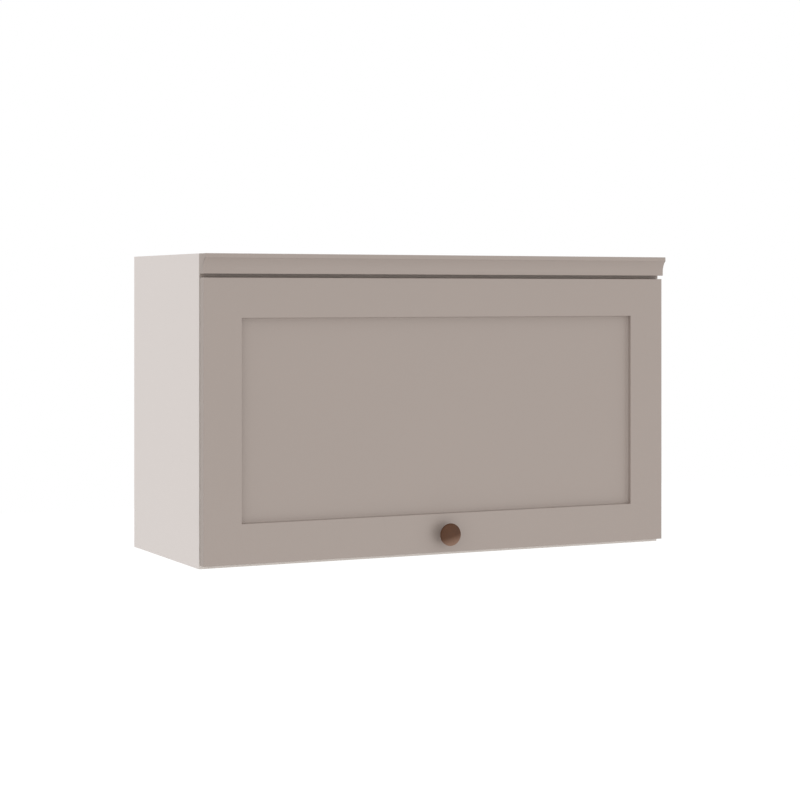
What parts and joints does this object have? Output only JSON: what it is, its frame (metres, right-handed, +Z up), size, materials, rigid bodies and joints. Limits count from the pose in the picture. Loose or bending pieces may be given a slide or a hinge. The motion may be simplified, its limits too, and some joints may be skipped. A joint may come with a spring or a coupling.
{
  "type": "lift up wall cabinet",
  "caption": "Wide, low wall cabinet with a framed door that lifts up on top hinges and spring lift fittings, a crown moulding above it and a round wooden knob.",
  "frame": {"origin": "on the wall plane, midway between the two wall screw holes in the upper hanging rail", "axes": "+X along the width, to the right seen from the front; +Y towards the wall; +Z up; the door faces -Y"},
  "size_m": [0.8, 0.341, 0.467],
  "materials": {
    "white_board": "matte foil-faced board",
    "back_board": "thin white-faced fibreboard",
    "white_edge": "matte edge band",
    "taupe_lacquer": "matte lacquered fibreboard",
    "stained_wood": "satin stained wood",
    "beech": "raw turned wood",
    "zinc_steel": "zinc plated",
    "nickel_steel": "nickel plated",
    "spring_steel": "oiled",
    "carriage_plastic": "moulded",
    "cover_plastic": "moulded",
    "bumper_rubber": "soft"
  },
  "bodies": {
    "carcass": {"side_panel_left": "white_board", "side_panel_right": "white_board", "top_panel": "white_board", "bottom_panel": "white_board", "hanging_rail_upper": "white_board", "hanging_rail_lower": "white_board", "back_panel": "back_board", "edge_band_left": "white_edge", "edge_band_right": "white_edge", "edge_band_bottom": "white_edge", "edge_band_top": "white_edge", "crown_moulding": "taupe_lacquer", "fascia_rail": "taupe_lacquer", "wood_dowels": "beech", "cam_bolts": "zinc_steel", "cam_locks": "zinc_steel", "fascia_screws": "zinc_steel", "moulding_screws": "zinc_steel", "hinge_plate_screws": "zinc_steel", "hinge_arm_screws": "zinc_steel", "lift_base_screws": "zinc_steel", "lift_adjuster_screws": "zinc_steel", "lift_spring_stops": "zinc_steel", "hinge_arm_left": "nickel_steel", "hinge_arm_right": "nickel_steel", "hinge_plate_left": "nickel_steel", "hinge_plate_right": "nickel_steel", "lift_base_left": "nickel_steel", "lift_base_right": "nickel_steel", "lift_springs_left": "spring_steel", "lift_springs_right": "spring_steel", "lift_cover_left": "cover_plastic", "lift_cover_right": "cover_plastic"},
    "door": {"door_leaf": "taupe_lacquer", "knob": "stained_wood", "knob_screw": "zinc_steel", "door_bumpers": "bumper_rubber", "hinge_pins": "nickel_steel", "hinge_cup_left": "nickel_steel", "hinge_cup_right": "nickel_steel", "hinge_cup_screws": "zinc_steel", "door_bracket_left": "nickel_steel", "door_bracket_right": "nickel_steel", "bracket_screws": "zinc_steel", "bracket_pins": "zinc_steel"},
    "lever_left": {"cam_shaft_left": "zinc_steel", "lift_lever_left": "nickel_steel", "elbow_pin_left": "zinc_steel"},
    "link_left": {"lift_link_left": "nickel_steel"},
    "carriage_left": {"spring_carriage_left": "carriage_plastic"},
    "lever_right": {"cam_shaft_right": "zinc_steel", "lift_lever_right": "nickel_steel", "elbow_pin_right": "zinc_steel"},
    "link_right": {"lift_link_right": "nickel_steel"},
    "carriage_right": {"spring_carriage_right": "carriage_plastic"}
  },
  "joints": [
    {"name": "door_lift", "type": "hinge", "parent": "carcass", "child": "door", "pos_m": [0, -0.3102, 0.0484], "axis": [-1, 0, 0], "range_deg": [0, 90]},
    {"name": "lever_left", "type": "hinge", "parent": "carcass", "child": "lever_left", "pos_m": [-0.3615, -0.2242, -0.0056], "axis": [-1, 0, 0], "range_deg": [0, 90]},
    {"name": "link_left", "type": "hinge", "parent": "lever_left", "child": "link_left", "pos_m": [-0.3615, -0.204, -0.1216], "axis": [-1, 0, 0], "range_deg": [-90, 0]},
    {"name": "carriage_left", "type": "slide", "parent": "carcass", "child": "carriage_left", "axis": [0, -1, 0], "range_m": [0, 0.011], "deforming": ["lift_springs_left"]},
    {"name": "lever_right", "type": "hinge", "parent": "carcass", "child": "lever_right", "pos_m": [0.3615, -0.2242, -0.0056], "axis": [-1, 0, 0], "range_deg": [0, 90]},
    {"name": "link_right", "type": "hinge", "parent": "lever_right", "child": "link_right", "pos_m": [0.3615, -0.204, -0.1216], "axis": [-1, 0, 0], "range_deg": [-90, 0]},
    {"name": "carriage_right", "type": "slide", "parent": "carcass", "child": "carriage_right", "axis": [0, -1, 0], "range_m": [0, 0.011], "deforming": ["lift_springs_right"]}
  ],
  "couplings": [
    {"joint": "lever_left", "follows": "door_lift", "ratio": 1},
    {"joint": "link_left", "follows": "door_lift", "ratio": -1},
    {"joint": "carriage_left", "follows": "door_lift", "m_per_rad": 0.0070028},
    {"joint": "lever_right", "follows": "door_lift", "ratio": 1},
    {"joint": "link_right", "follows": "door_lift", "ratio": -1},
    {"joint": "carriage_right", "follows": "door_lift", "m_per_rad": 0.0070028}
  ]
}
